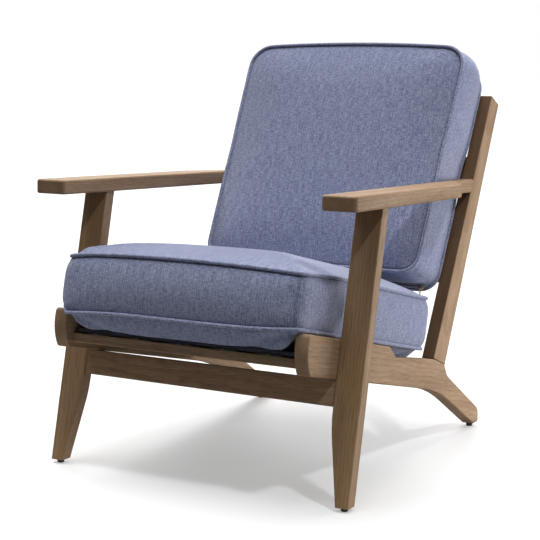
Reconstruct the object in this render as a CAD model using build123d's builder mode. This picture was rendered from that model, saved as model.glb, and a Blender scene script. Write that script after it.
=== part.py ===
"""Lounge chair with a stained wood frame and two loose box cushions.

The chair faces -Y, X runs across it and Z is up. The origin is on the floor under the
middle of the chair. Three tilted frames carry most of the work: the seat frame (along the
side planks), the back frame (along the front of the back posts) and the arm frame.
"""

import os
from math import cos, radians, sin

from build123d import *

# Angles, in degrees
seat_pitch = 13.5
back_lean = 28.0
arm_pitch = 2.0
post_joint_pitch = 22.0

# Width over the armrests
chair_width = 720.0

# Side planks: seat rail and rear leg in one board
plank_thickness = 29.0
plank_height = 76.0
seat_front_height = 337.0
nose_sweep = 9.0
nose_radius = 8.0
notch_start = 345.0
notch_run = 32.0
notch_drop = 19.5
notch_top_radius = 12.0
notch_low_radius = 30.0
post_seat_run = 184.0
post_seat_rise = 7.5
heel_run = 13.0
heel_drop = 24.5
heel_radius = 40.0
knee_setback = 37.0
knee_radius = 480.0
rear_leg_run = 174.0
foot_length = 25.0
foot_rise = 30.5
foot_top_radius = 22.0
foot_heel_radius = 6.0

# Back posts
post_length = 613.0
post_foot_width = 61.5
post_top_width = 45.0

# Front legs
leg_width = 56.0
leg_thickness = 26.5
leg_setback = 127.0
leg_taper_start = 158.0
leg_taper = 27.0
leg_taper_radius = 300.0

# Armrests
arm_overhang = 17.0
arm_width = 72.0
arm_thickness = 28.5
arm_setback = 42.0
arm_front_height = 553.5
arm_shoulder = 507.0
arm_shoulder_run = 98.0
arm_front_radius = 8.0
arm_shoulder_radius = 9.0
arm_tongue_inset = 3.0
arm_tongue_radius = 40.0
arm_edge_radius = 4.5

# Apron, seat rails and back slats
apron_height = 50.0
apron_thickness = 20.0
apron_recess = 3.5
rail_width = 60.0
rail_thickness = 18.0
rail_drop = 46.0
front_rail_setback = 36.0
rear_rail_setback = 430.0
slat_height = 55.0
slat_thickness = 16.0
slat_recess = 10.0
slat_first = 205.0
slat_top_gap = 54.0
tenon_length = 12.0
tenon_shoulder = 4.0
tenon_clearance = 0.2

# Seat deck
strap_width = 50.0
strap_thickness = 2.0
strap_count = 5
strap_pitch = 98.0
deck_thickness = 10.0
deck_side_gap = 6.0
deck_end_gap = 4.0
deck_edge_radius = 4.0

# Seat cushion
seat_overhang = 6.0
seat_front = 2.5
seat_rear_gap = 6.5
seat_boxing = 105.0
seat_lift = 6.0
seat_crown = 38.0
seat_corner = 26.0
seat_bulge = 8.0
seat_draw = 4.0
seat_panel_gap = 2.0

# Back cushion
back_overhang = 5.0
back_foot = 147.0
back_rise = 50.0
back_boxing = 116.0
back_lift = 6.5
back_crown = 18.0
back_corner = 36.0
back_bulge = 2.5
back_side_draw = 7.0
back_end_bow = 2.5

# Both cushions
welt_diameter = 7.0
welt_clearance = 0.1
cover_wall = 3.3
foam_clearance = 0.3
soft_clearance = 0.4
crown_reach = 150.0
crown_steps = 4
crown_corner = 60.0

# Zips
zip_inset = 22.0
zip_tape_width = 22.0
zip_tape_thickness = 1.2
zip_chain_width = 5.0
zip_chain_height = 1.6
zip_recess = 1.0
zip_pocket_depth = 28.0
zip_side_gap = 1.0
zip_end_gap = 3.0
seat_zip_level = 50.0
back_zip_level = 32.0
slider_length = 11.0
slider_width = 9.0
slider_nose_width = 5.5
slider_height = 5.0
slider_radius = 1.0
slider_clearance = 0.3
bail_wire = 1.4
bail_span = 6.0
bail_rise = 4.0
pull_length = 18.0
pull_width = 5.0
pull_thickness = 1.2
pull_radius = 2.0
pull_eye = 3.0
pull_play = 0.1

# Fasteners and glides
bolt_diameter = 6.0
bolt_head_diameter = 13.0
bolt_head_height = 4.0
bolt_head_cover = 1.0
bolt_socket = 4.0
bolt_socket_depth = 2.5
bolt_clearance = 0.3
bolt_edge_distance = 20.0
insert_diameter = 10.0
insert_length = 20.0
insert_clearance = 0.1
arm_dowel_diameter = 10.0
arm_dowel_pitch = 28.0
arm_dowel_up = 16.0
arm_dowel_down = 20.0
tongue_dowel_diameter = 8.0
tongue_dowel_pitch = 13.0
tongue_dowel_offset = 4.0
tongue_dowel_half = 20.0
post_dowel_diameter = 12.0
post_dowel_pitch = 26.0
post_dowel_half = 30.0
dowel_clearance = 0.1
dowel_end_gap = 1.0
glide_diameter = 14.0
glide_height = 8.0
glide_rim_radius = 2.0
glide_nail_diameter = 3.0
glide_nail_length = 14.0

edge_radius = 3.0
soft_edge_radius = 2.0

# Sizes that follow from the driving ones
pitch = radians(seat_pitch)
lean = radians(back_lean)
arm_tilt = radians(arm_pitch)
arm_outer = chair_width / 2
arm_inner = arm_outer - arm_width
leg_outer = arm_outer - arm_overhang
plank_outer = leg_outer - leg_width
plank_inner = plank_outer - plank_thickness
plank_middle = plank_inner + plank_thickness / 2
post_seat_end = notch_start + notch_run + post_seat_run
post_seat_level = post_seat_rise - notch_drop
joint_run = post_seat_end * cos(pitch) + post_seat_level * sin(pitch)
depth = joint_run + post_length * sin(lean) + post_top_width * cos(lean)
front_y = -depth / 2
seat_half_width = plank_inner + seat_overhang
seat_length = post_seat_end - seat_front - seat_rear_gap
back_half_width = plank_inner + back_overhang
back_height = post_length + back_rise - back_foot


def seat_yz(along, above):
    """Y and Z of a point given along the seat slope and square above it."""
    return (
        front_y + along * cos(pitch) + above * sin(pitch),
        seat_front_height - along * sin(pitch) + above * cos(pitch),
    )


joint_y, joint_z = seat_yz(post_seat_end, post_seat_level)
seat_frame = Plane((0, front_y, seat_front_height), (1, 0, 0), (0, sin(pitch), cos(pitch)))
back_frame = Plane((0, joint_y, joint_z), (1, 0, 0), (0, -cos(lean), sin(lean)))
arm_frame = Plane(
    (0, front_y + arm_setback, arm_front_height), (1, 0, 0), (0, sin(arm_tilt), cos(arm_tilt))
)
floor_cut = Plane.XY.offset(glide_height)


def at(frame, across, along, above):
    """Place in a tilted frame."""
    return frame.location * Location((across, along, above))


def save(part, name):
    """Label one piece and write it under that name."""
    part.label = name
    export_step(part, f"parts/{name}.step")


def save_pair(part, name):
    """Write a right-hand piece and its mirror image on the left."""
    save(part.mirror(Plane.YZ), f"left_{name}")
    save(part, f"right_{name}")


os.makedirs("parts", exist_ok=True)

# Where the pieces meet
leg_middle = leg_setback + leg_thickness / 2
leg_middle_x = plank_outer + leg_width / 2
bolt_levels = (-bolt_edge_distance, bolt_edge_distance - plank_height)
bolt_floor = plank_inner + bolt_head_cover + bolt_head_height
apron_middle = leg_setback + apron_recess + apron_thickness / 2
apron_level = -plank_height - apron_height / 2
rail_level = -rail_drop - rail_thickness / 2
front_rail_middle = front_rail_setback + rail_width / 2
rear_rail_middle = rear_rail_setback + rail_width / 2
slat_level = -slat_recess - slat_thickness / 2
slat_names = ("bottom", "lower", "upper", "top")
slat_pitch = (post_length - slat_top_gap - slat_first) / (len(slat_names) - 1)
slat_places = [slat_first + slat_pitch * step for step in range(len(slat_names))]

# The arm's mid plane reaches the front of the post after this run
arm_origin_out = back_frame.to_local_coords(at(arm_frame, 0, 0, arm_thickness / 2).position).Z
arm_reach = arm_origin_out / cos(lean - arm_tilt)
# The middle of the front leg meets the arm's underside after this run
arm_origin_along = seat_frame.to_local_coords(arm_frame.origin).Y
arm_dowel_run = (leg_middle - arm_origin_along) / cos(pitch - arm_tilt)
arm_dowel_places = (
    (leg_middle_x - arm_dowel_pitch / 2, arm_dowel_run),
    (leg_middle_x + arm_dowel_pitch / 2, arm_dowel_run),
)
tongue_frame = Plane(
    at(arm_frame, plank_middle, arm_reach, arm_thickness / 2).position, (1, 0, 0), arm_frame.y_dir
)
tongue_dowel_places = (
    (tongue_dowel_offset, -tongue_dowel_pitch / 2),
    (tongue_dowel_offset, tongue_dowel_pitch / 2),
)

# The joint face between plank and post, its Z axis up the post
joint_slope = radians(post_joint_pitch)
joint_start = Vector(plank_middle, joint_y, joint_z)
joint_line = Vector(0, cos(joint_slope), -sin(joint_slope))
joint_normal = Vector(0, sin(joint_slope), cos(joint_slope))
joint_end = joint_start + joint_line * post_foot_width
joint_middle = joint_start + joint_line * (post_foot_width / 2)
post_dowel_planes = [
    Plane(joint_middle + joint_line * (side * post_dowel_pitch / 2), (1, 0, 0), back_frame.y_dir)
    for side in (-1, 1)
]

# Feet
heel_y = joint_end.Y + heel_run
heel_z = joint_end.Z - heel_drop
foot_y = heel_y + rear_leg_run
toe_y = foot_y - foot_length
rear_glide_place = (plank_middle, toe_y + (foot_length - foot_heel_radius) / 2, glide_height)
leg_foot = (glide_height - seat_front_height + leg_middle * sin(pitch)) / cos(pitch)
front_glide_place = (
    plank_outer + (leg_taper + leg_width) / 2,
    seat_yz(leg_middle, leg_foot)[0],
    glide_height,
)


def cut_mortise(frame, place, width, thickness):
    """Pocket for a stub tenon, in the face at the given place across the chair."""
    with Locations(at(frame, *place)):
        Box(
            2 * (tenon_length + tenon_clearance),
            width - 2 * tenon_shoulder + 2 * tenon_clearance,
            thickness - 2 * tenon_shoulder + 2 * tenon_clearance,
            mode=Mode.SUBTRACT,
        )


def cut_nail_hole(place):
    """Hole for the nail of a floor glide, up from the foot."""
    with Locations(place):
        Cylinder(
            glide_nail_diameter / 2 + dowel_clearance,
            2 * (glide_nail_length + dowel_end_gap),
            mode=Mode.SUBTRACT,
        )


# Side plank, its nose upright and swept forward in the middle
nose_top_run = nose_sweep / cos(pitch)
nose_low_run = (nose_sweep + plank_height * sin(pitch)) / cos(pitch)

with BuildPart() as side_plank:
    with BuildSketch(Plane.YZ.offset(plank_inner)):
        with BuildLine():
            outline = FilletPolyline(
                seat_yz(nose_top_run, 0),
                seat_yz(notch_start, 0),
                seat_yz(notch_start + notch_run, -notch_drop),
                (joint_y, joint_z),
                (joint_end.Y, joint_end.Z),
                (heel_y, heel_z),
                (foot_y, glide_height + foot_rise),
                (foot_y, glide_height),
                (toe_y, glide_height),
                seat_yz(post_seat_end + knee_setback, -plank_height),
                seat_yz(nose_low_run, -plank_height),
                radius=(
                    notch_top_radius,
                    notch_low_radius,
                    0,
                    0,
                    heel_radius,
                    foot_top_radius,
                    foot_heel_radius,
                    0,
                    knee_radius,
                ),
            )
            nose_middle_z = ((outline @ 0).Y + (outline @ 1).Y) / 2
            ThreePointArc(outline @ 1, (front_y, nose_middle_z), outline @ 0)
        plank_face = make_face()
        nose_corners = plank_face.vertices().sort_by(Axis.X)[:2]
        fillet(nose_corners, nose_radius)
    extrude(amount=plank_thickness)
    fillet(
        side_plank.faces()
        .filter_by(Axis.X)
        .edges()
        .filter_by(lambda edge: (edge @ 0.5 - joint_middle).length > plank_thickness),
        edge_radius,
    )
    for place in (front_rail_middle, rear_rail_middle):
        cut_mortise(seat_frame, (plank_inner, place, rail_level), rail_width, rail_thickness)
    # bolt holes, with the heads sunk in the inner face
    with Locations([at(seat_frame, plank_inner, leg_middle, level) for level in bolt_levels]):
        Cylinder(
            bolt_diameter / 2 + bolt_clearance,
            3 * plank_thickness,
            rotation=(0, 90, 0),
            mode=Mode.SUBTRACT,
        )
        Cylinder(
            bolt_head_diameter / 2 + bolt_clearance,
            2 * (bolt_head_height + bolt_head_cover),
            rotation=(0, 90, 0),
            mode=Mode.SUBTRACT,
        )
    with Locations(post_dowel_planes):
        Cylinder(
            post_dowel_diameter / 2 + dowel_clearance, 2 * post_dowel_half, mode=Mode.SUBTRACT
        )
    cut_nail_hole(rear_glide_place)
save_pair(side_plank.part, "side_plank")

# Back post
post_top_front = at(back_frame, 0, post_length, 0).position
post_top_rear = at(back_frame, 0, post_length, -post_top_width).position

with BuildPart() as back_post:
    with BuildSketch(Plane.YZ.offset(plank_inner)):
        with BuildLine():
            Polyline(
                (joint_y, joint_z),
                (joint_end.Y, joint_end.Z),
                (post_top_rear.Y, post_top_rear.Z),
                (post_top_front.Y, post_top_front.Z),
                close=True,
            )
        make_face()
    extrude(amount=plank_thickness)
    fillet(
        back_post.edges().filter_by(lambda edge: (edge @ 0.5 - joint_middle).dot(joint_normal) > 1),
        edge_radius,
    )
    with Locations(post_dowel_planes):
        Cylinder(
            post_dowel_diameter / 2 + dowel_clearance,
            2 * (post_dowel_half + dowel_end_gap),
            mode=Mode.SUBTRACT,
        )
    with Locations([tongue_frame.location * Location(place) for place in tongue_dowel_places]):
        Cylinder(
            tongue_dowel_diameter / 2 + dowel_clearance,
            2 * (tongue_dowel_half + dowel_end_gap),
            mode=Mode.SUBTRACT,
        )
    for place in slat_places:
        cut_mortise(back_frame, (plank_inner, place, slat_level), slat_height, slat_thickness)
save_pair(back_post.part, "back_post")

# Front leg, square to the planks
leg_face = Plane(at(seat_frame, 0, leg_setback, 0).position, (1, 0, 0), -seat_frame.y_dir)
leg_top = arm_front_height
leg_end = leg_foot - leg_thickness
leg_slope = leg_taper / (-leg_taper_start - leg_foot)
leg_end_x = plank_outer + leg_slope * (-leg_taper_start - leg_end)

with BuildPart() as front_leg:
    with BuildSketch(leg_face):
        with BuildLine():
            FilletPolyline(
                (plank_outer, leg_top),
                (leg_outer, leg_top),
                (leg_outer, leg_end),
                (leg_end_x, leg_end),
                (plank_outer, -leg_taper_start),
                radius=(0, 0, 0, 0, leg_taper_radius),
                close=True,
            )
        make_face()
    extrude(amount=-leg_thickness)
    fillet(
        front_leg.faces()
        .filter_by(Axis((0, 0, 0), seat_frame.y_dir))
        .edges()
        .filter_by(Axis.X, reverse=True),
        edge_radius,
    )
    split(bisect_by=floor_cut, keep=Keep.TOP)
    split(bisect_by=arm_frame, keep=Keep.BOTTOM)
    cut_mortise(
        Plane(seat_frame.origin, (1, 0, 0), seat_frame.y_dir),
        (plank_outer, -apron_level, apron_middle),
        apron_height,
        apron_thickness,
    )
    with Locations([at(seat_frame, plank_outer, leg_middle, level) for level in bolt_levels]):
        Cylinder(
            insert_diameter / 2 + insert_clearance,
            2 * insert_length,
            rotation=(0, 90, 0),
            mode=Mode.SUBTRACT,
        )
    with Locations([at(arm_frame, *place, 0) for place in arm_dowel_places]):
        Cylinder(
            arm_dowel_diameter / 2 + dowel_clearance,
            2 * (arm_dowel_down + dowel_end_gap),
            mode=Mode.SUBTRACT,
        )
    cut_nail_hole(front_glide_place)
save_pair(front_leg.part, "front_leg")

# Armrest: a paddle that narrows to a tongue against the post
arm_toe = (arm_inner - plank_inner - arm_tongue_inset) / arm_reach
arm_end = arm_reach + arm_thickness

with BuildPart() as armrest:
    with BuildSketch(arm_frame):
        with BuildLine():
            FilletPolyline(
                (arm_inner, 0),
                (arm_outer, 0),
                (arm_outer - arm_toe * arm_shoulder, arm_shoulder),
                (plank_outer, arm_shoulder + arm_shoulder_run),
                (plank_outer, arm_end),
                (arm_inner - arm_toe * arm_end, arm_end),
                radius=(
                    arm_front_radius,
                    arm_front_radius,
                    arm_shoulder_radius,
                    arm_tongue_radius,
                    0,
                    0,
                ),
                close=True,
            )
        make_face()
    extrude(amount=arm_thickness)
    fillet(
        armrest.faces().filter_by(Axis((0, 0, 0), arm_frame.z_dir)).edges(), arm_edge_radius
    )
    split(bisect_by=back_frame, keep=Keep.TOP)
    with Locations([at(arm_frame, *place, 0) for place in arm_dowel_places]):
        Cylinder(
            arm_dowel_diameter / 2 + dowel_clearance, 2 * arm_dowel_up, mode=Mode.SUBTRACT
        )
    with Locations([tongue_frame.location * Location(place) for place in tongue_dowel_places]):
        Cylinder(
            tongue_dowel_diameter / 2 + dowel_clearance, 2 * tongue_dowel_half, mode=Mode.SUBTRACT
        )
save_pair(armrest.part, "armrest")


def make_board(frame, place, half_length, width, thickness):
    """Board across the chair with eased long edges and a stub tenon at each end."""
    with Locations(at(frame, *place)):
        body = Box(2 * half_length, width, thickness)
        fillet(body.edges().filter_by(Axis.X), soft_edge_radius)
        Box(
            2 * (half_length + tenon_length),
            width - 2 * tenon_shoulder,
            thickness - 2 * tenon_shoulder,
        )


with BuildPart() as front_apron:
    make_board(
        seat_frame, (0, apron_middle, apron_level), plank_outer, apron_thickness, apron_height
    )
save(front_apron.part, "front_apron")

with BuildPart() as front_seat_rail:
    make_board(
        seat_frame, (0, front_rail_middle, rail_level), plank_inner, rail_width, rail_thickness
    )
save(front_seat_rail.part, "front_seat_rail")

with BuildPart() as rear_seat_rail:
    make_board(
        seat_frame, (0, rear_rail_middle, rail_level), plank_inner, rail_width, rail_thickness
    )
save(rear_seat_rail.part, "rear_seat_rail")

for slat_name, slat_place in zip(slat_names, slat_places):
    with BuildPart() as back_slat:
        make_board(
            back_frame, (0, slat_place, slat_level), plank_inner, slat_height, slat_thickness
        )
    save(back_slat.part, f"back_slat_{slat_name}")

# Webbing straps stretched over both seat rails, and the pad on them
strap_start = front_rail_setback
strap_end = rear_rail_setback + rail_width
strap_middle = (strap_start + strap_end) / 2
deck_base = strap_thickness - rail_drop
deck_top = deck_base + deck_thickness

with BuildPart() as seat_webbing:
    for step in range(strap_count):
        strap_x = (step - (strap_count - 1) / 2) * strap_pitch
        with Locations(at(seat_frame, strap_x, strap_middle, deck_base - strap_thickness / 2)):
            Box(strap_width, strap_end - strap_start, strap_thickness)
save(seat_webbing.part, "seat_webbing")

with BuildPart() as seat_deck_pad:
    with Locations(at(seat_frame, 0, strap_middle, deck_base + deck_thickness / 2)):
        Box(
            2 * (plank_inner - deck_side_gap),
            strap_end - strap_start - 2 * deck_end_gap,
            deck_thickness,
        )
    fillet(seat_deck_pad.edges(), deck_edge_radius)
save(seat_deck_pad.part, "seat_deck_pad")

# Bolts from the planks into threaded inserts in the front legs
with BuildPart() as leg_bolts:
    for level in bolt_levels:
        head_plane = Plane(
            at(seat_frame, bolt_floor, leg_middle, level).position, seat_frame.y_dir, (-1, 0, 0)
        )
        with BuildSketch(head_plane):
            Circle(bolt_head_diameter / 2)
        extrude(amount=bolt_head_height)
        with BuildSketch(head_plane):
            Circle(bolt_diameter / 2)
        extrude(amount=bolt_floor - plank_outer - insert_length)
        with BuildSketch(head_plane.offset(bolt_head_height)):
            RegularPolygon(bolt_socket / 2, 6, major_radius=False)
        extrude(amount=-bolt_socket_depth, mode=Mode.SUBTRACT)
    mirror(about=Plane.YZ)
save(leg_bolts.part, "leg_bolts")

with BuildPart() as leg_inserts:
    for level in bolt_levels:
        insert_plane = Plane(
            at(seat_frame, plank_outer, leg_middle, level).position, seat_frame.y_dir, (1, 0, 0)
        )
        with BuildSketch(insert_plane):
            Circle(insert_diameter / 2)
            Circle(bolt_diameter / 2 + insert_clearance, mode=Mode.SUBTRACT)
        extrude(amount=insert_length)
    mirror(about=Plane.YZ)
save(leg_inserts.part, "leg_inserts")

# Dowels
with BuildPart() as arm_front_dowels:
    for place in arm_dowel_places:
        with BuildSketch(Plane(at(arm_frame, *place, -arm_dowel_down))):
            Circle(arm_dowel_diameter / 2)
        extrude(amount=arm_dowel_down + arm_dowel_up)
    mirror(about=Plane.YZ)
save(arm_front_dowels.part, "arm_front_dowels")

with BuildPart() as arm_rear_dowels:
    with Locations([tongue_frame.location * Location(place) for place in tongue_dowel_places]):
        Cylinder(tongue_dowel_diameter / 2, 2 * tongue_dowel_half)
    mirror(about=Plane.YZ)
save(arm_rear_dowels.part, "arm_rear_dowels")

with BuildPart() as post_dowels:
    with Locations(post_dowel_planes):
        Cylinder(post_dowel_diameter / 2, 2 * post_dowel_half)
    mirror(about=Plane.YZ)
save(post_dowels.part, "post_dowels")

# Floor glides
for glide_name, glide_place in (("front", front_glide_place), ("rear", rear_glide_place)):
    with BuildPart() as floor_glide:
        with Locations(glide_place):
            Cylinder(
                glide_diameter / 2, glide_height, align=(Align.CENTER, Align.CENTER, Align.MAX)
            )
            Cylinder(
                glide_nail_diameter / 2,
                glide_nail_length,
                align=(Align.CENTER, Align.CENTER, Align.MIN),
            )
        fillet(floor_glide.edges().sort_by(Axis.Z)[0], glide_rim_radius)
    save_pair(floor_glide.part, f"{glide_name}_glide")


# Cushions
def corner_points(half_x, half_y, corner, draw_x, draw_y):
    """Where the first-quarter corner arc of a cushion outline starts, peaks and ends.

    Each side is an arc that curves in by its draw, or out where that is negative, and is
    tangent to the corner arcs.
    """
    centre = Vector(half_x - corner, half_y - corner)
    turn_x = (centre.Y**2 + draw_x**2) / (2 * draw_x)
    turn_y = (centre.X**2 + draw_y**2) / (2 * draw_y)
    to_side = Vector(turn_x - draw_x, -centre.Y) / turn_x
    to_end = Vector(-centre.X, turn_y - draw_y) / turn_y
    to_peak = (to_side + to_end).normalized()
    return [centre + direction * corner for direction in (to_side, to_peak, to_end)]


def draw_outline(half_x, half_y, corner, draw_x, draw_y):
    """Closed cushion outline of four corner arcs and four curved sides."""
    start, peak, end = corner_points(half_x, half_y, corner, draw_x, draw_y)
    for side in (-1, 1):
        ThreePointArc(
            (side * start.X, -start.Y), (side * (half_x - draw_x), 0), (side * start.X, start.Y)
        )
        ThreePointArc(
            (-end.X, side * end.Y), (0, side * (half_y - draw_y)), (end.X, side * end.Y)
        )
        for turn in (-1, 1):
            ThreePointArc(
                (side * start.X, turn * start.Y),
                (side * peak.X, turn * peak.Y),
                (side * end.X, turn * end.Y),
            )


def outline_section(frame, level, cushion, inset, reach=0, share=0):
    """Face of a cushion outline at a level of its frame, moved in by the inset.

    The reach and share draw it in further for a crown, with rounder corners.
    """
    half_x, half_y, corner, draw_x, draw_y = cushion
    with BuildSketch(frame.offset(level)) as section:
        with BuildLine():
            draw_outline(
                half_x - inset - reach,
                half_y - inset - reach,
                (corner - inset) * (1 - share) + crown_corner * share,
                draw_x * (1 - share / 2),
                draw_y * (1 - share / 2),
            )
        make_face()
    return section.sketch.face()


def domed_panel(frame, level, rise, cushion, inset, mode=Mode.ADD):
    """Crowned panel that rises from a cushion outline at a level."""
    sections = []
    for step in range(crown_steps + 1):
        share = step / crown_steps
        height = level + rise * (1 - (1 - share) ** 3)
        reach = (crown_reach - inset) * share
        sections.append(outline_section(frame, height, cushion, inset, reach, share))
    loft(sections, mode=mode)


def boxed_sides(frame, low, high, bulge, cushion):
    """Band between two welts that bulges half-way up."""
    loft(
        [
            outline_section(frame, low, cushion, 0),
            outline_section(frame, (low + high) / 2, cushion, -bulge),
            outline_section(frame, high, cushion, 0),
        ]
    )


def straight_sides(frame, low, high, cushion, inset, mode=Mode.ADD):
    """Upright band on a cushion outline."""
    extrude(outline_section(frame, low, cushion, inset), amount=high - low, mode=mode)


def welt_ring(frame, level, cushion):
    """Round cord along a cushion outline."""
    half_x, half_y, corner, draw_x, draw_y = cushion
    with BuildLine(frame.offset(level)) as path:
        draw_outline(half_x, half_y, corner, draw_x, draw_y)
    side_middle = at(frame, half_x - draw_x, 0, level).position
    with BuildSketch(Plane(side_middle, frame.z_dir, frame.y_dir)) as cord:
        Circle(welt_diameter / 2)
    sweep(cord.sketch.face(), path=path.wires()[0])


groove = welt_diameter / 2 + welt_clearance
standing = (Align.CENTER, Align.CENTER, Align.MIN)


def make_cushion(
    name, frame, cushion, low, high, belly, belly_inset, crown, bulge, welt_names, zip_frame
):
    """Cover, foam, two welts and the zip pieces of one box cushion."""
    core_inset = belly_inset + groove + cover_wall
    zip_length = 2 * (cushion[0] - zip_inset)
    low_edge = low - groove
    high_edge = high + groove
    with BuildPart() as cover:
        domed_panel(frame, low_edge, -belly, cushion, belly_inset)
        straight_sides(frame, low_edge, low + groove, cushion, groove)
        boxed_sides(frame, low + groove, high - groove, bulge, cushion)
        straight_sides(frame, high - groove, high_edge, cushion, groove)
        domed_panel(frame, high_edge, crown, cushion, 0)
        domed_panel(frame, low_edge, cover_wall - belly, cushion, core_inset, Mode.SUBTRACT)
        straight_sides(frame, low_edge, high_edge, cushion, core_inset, Mode.SUBTRACT)
        # pocket for the zip in the boxing
        with Locations(zip_frame):
            Box(
                zip_length + 2 * zip_end_gap,
                zip_tape_width + 2 * zip_side_gap,
                zip_pocket_depth,
                align=standing,
                mode=Mode.SUBTRACT,
            )
    save(cover.part, f"{name}_cover")

    foam_inset = core_inset + foam_clearance
    with BuildPart() as foam:
        domed_panel(frame, low_edge, cover_wall - belly, cushion, foam_inset)
        straight_sides(frame, low_edge, high_edge - foam_clearance, cushion, foam_inset)
    save(foam.part, f"{name}_foam")

    for welt_name, level in zip(welt_names, (low, high)):
        with BuildPart() as welt:
            welt_ring(frame, level, cushion)
        save(welt.part, f"{name}_{welt_name}_welt")

    with BuildPart() as zip_tape:
        with Locations(zip_frame):
            Box(zip_length, zip_tape_width, zip_tape_thickness, align=standing)
        with Locations(zip_frame.offset(zip_tape_thickness)):
            Box(zip_length, zip_chain_width, zip_chain_height, align=standing)
    save(zip_tape.part, f"{name}_zip")

    # the slider rides on the tape at the right-hand end, astride the chain
    slider_x = (zip_length - slider_length) / 2
    slider_base = zip_tape_thickness + slider_clearance
    slider_frame = Plane(
        at(zip_frame, slider_x, 0, slider_base).position, (1, 0, 0), zip_frame.z_dir
    )
    with BuildPart() as slider:
        with BuildSketch(slider_frame):
            with BuildLine():
                Polyline(
                    (-slider_length / 2, -slider_nose_width / 2),
                    (0, -slider_width / 2),
                    (slider_length / 2, -slider_width / 2),
                    (slider_length / 2, slider_width / 2),
                    (0, slider_width / 2),
                    (-slider_length / 2, slider_nose_width / 2),
                    close=True,
                )
            make_face()
        extrude(amount=slider_height)
        fillet(slider.faces().sort_by(Axis((0, 0, 0), zip_frame.z_dir))[-1].edges(), slider_radius)
        with Locations(slider_frame):
            Box(
                2 * slider_length,
                zip_chain_width + 2 * slider_clearance,
                zip_chain_height,
                align=standing,
                mode=Mode.SUBTRACT,
            )
        # bail
        bail_plane = Plane(slider_frame.origin, (1, 0, 0), -slider_frame.y_dir)
        with BuildLine(bail_plane) as bail_path:
            Polyline(
                (-bail_span / 2, slider_height - bail_wire),
                (-bail_span / 2, slider_height + bail_rise / 2),
            )
            ThreePointArc(
                (-bail_span / 2, slider_height + bail_rise / 2),
                (0, slider_height + bail_rise),
                (bail_span / 2, slider_height + bail_rise / 2),
            )
            Polyline(
                (bail_span / 2, slider_height + bail_rise / 2),
                (bail_span / 2, slider_height - bail_wire),
            )
        bail_foot = at(slider_frame, -bail_span / 2, 0, slider_height - bail_wire).position
        with BuildSketch(Plane(bail_foot, (1, 0, 0), slider_frame.z_dir)) as wire:
            Circle(bail_wire / 2)
        sweep(wire.sketch.face(), path=bail_path.wires()[0], transition=Transition.ROUND)
    save(slider.part, f"{name}_zip_slider")

    # the pull hangs from the top of the bail
    bail_top = at(slider_frame, 0, 0, slider_height + bail_rise).position
    eye_drop = (pull_eye - bail_wire) / 2 - pull_play
    with BuildPart() as pull:
        with BuildSketch(Plane(bail_top - Vector(0, 0, eye_drop), (0, 1, 0), (1, 0, 0))):
            with Locations((0, (pull_width - pull_length) / 2)):
                RectangleRounded(pull_width, pull_length, pull_radius)
            Circle(pull_eye / 2, mode=Mode.SUBTRACT)
        extrude(amount=pull_thickness / 2, both=True)
    save(pull.part, f"{name}_zip_pull")


seat_cushion_frame = Plane(
    at(seat_frame, 0, seat_front + seat_length / 2, 0).position, (1, 0, 0), seat_frame.z_dir
)
make_cushion(
    "seat",
    seat_cushion_frame,
    (seat_half_width, seat_length / 2, seat_corner, seat_draw, seat_draw),
    seat_lift,
    seat_lift + seat_boxing,
    seat_lift - groove - deck_top - soft_clearance,
    seat_overhang + seat_panel_gap,
    seat_crown,
    seat_bulge,
    ("bottom", "top"),
    Plane(
        at(seat_cushion_frame, 0, seat_length / 2 - zip_recess, seat_zip_level).position,
        (1, 0, 0),
        seat_frame.y_dir,
    ),
)

back_cushion_frame = Plane(
    at(back_frame, 0, back_foot + back_height / 2, 0).position, (1, 0, 0), back_frame.z_dir
)
make_cushion(
    "back",
    back_cushion_frame,
    (back_half_width, back_height / 2, back_corner, back_side_draw, -back_end_bow),
    back_lift,
    back_lift + back_boxing,
    back_lift - groove + slat_recess - soft_clearance,
    0,
    back_crown,
    back_bulge,
    ("rear", "front"),
    Plane(
        at(back_cushion_frame, 0, zip_recess - back_height / 2, back_zip_level).position,
        (1, 0, 0),
        -back_frame.y_dir,
    ),
)
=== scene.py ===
# %% [markdown]
# # Accent chair with loose cushions
# The wooden frame comes from the CAD model and only gets its finish here. The two box cushions,
# the padded deck, the straps and the zips are soft, so they are modelled again as sewn things.

# %% Load the CAD frame
from math import cos, exp, pi, radians, sin

import bmesh
import bpy
from mathutils import Euler, Matrix, Vector
from mathutils.kdtree import KDTree


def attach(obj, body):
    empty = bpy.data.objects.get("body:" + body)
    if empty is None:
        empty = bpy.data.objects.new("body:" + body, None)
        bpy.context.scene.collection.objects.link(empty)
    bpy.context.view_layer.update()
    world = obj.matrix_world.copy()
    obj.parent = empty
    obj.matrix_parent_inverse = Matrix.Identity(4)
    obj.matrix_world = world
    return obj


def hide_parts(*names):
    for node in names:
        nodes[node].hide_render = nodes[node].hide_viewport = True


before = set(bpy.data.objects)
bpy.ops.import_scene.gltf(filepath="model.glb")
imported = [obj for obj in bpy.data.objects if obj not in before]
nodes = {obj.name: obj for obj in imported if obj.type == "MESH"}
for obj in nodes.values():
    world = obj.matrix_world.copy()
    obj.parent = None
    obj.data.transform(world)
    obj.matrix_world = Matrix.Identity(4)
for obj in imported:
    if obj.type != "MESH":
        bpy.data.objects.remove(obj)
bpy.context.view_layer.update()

scene = bpy.context.scene
scene.view_settings.view_transform = "Standard"
MM = 0.001

# %% [markdown]
# The seat and the back each lie in a tilted plane. Two matrices carry these planes, so that a
# cushion can be drawn flat in millimetres and then set in place: X across, Y along the slope
# and Z square out of it.

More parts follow.
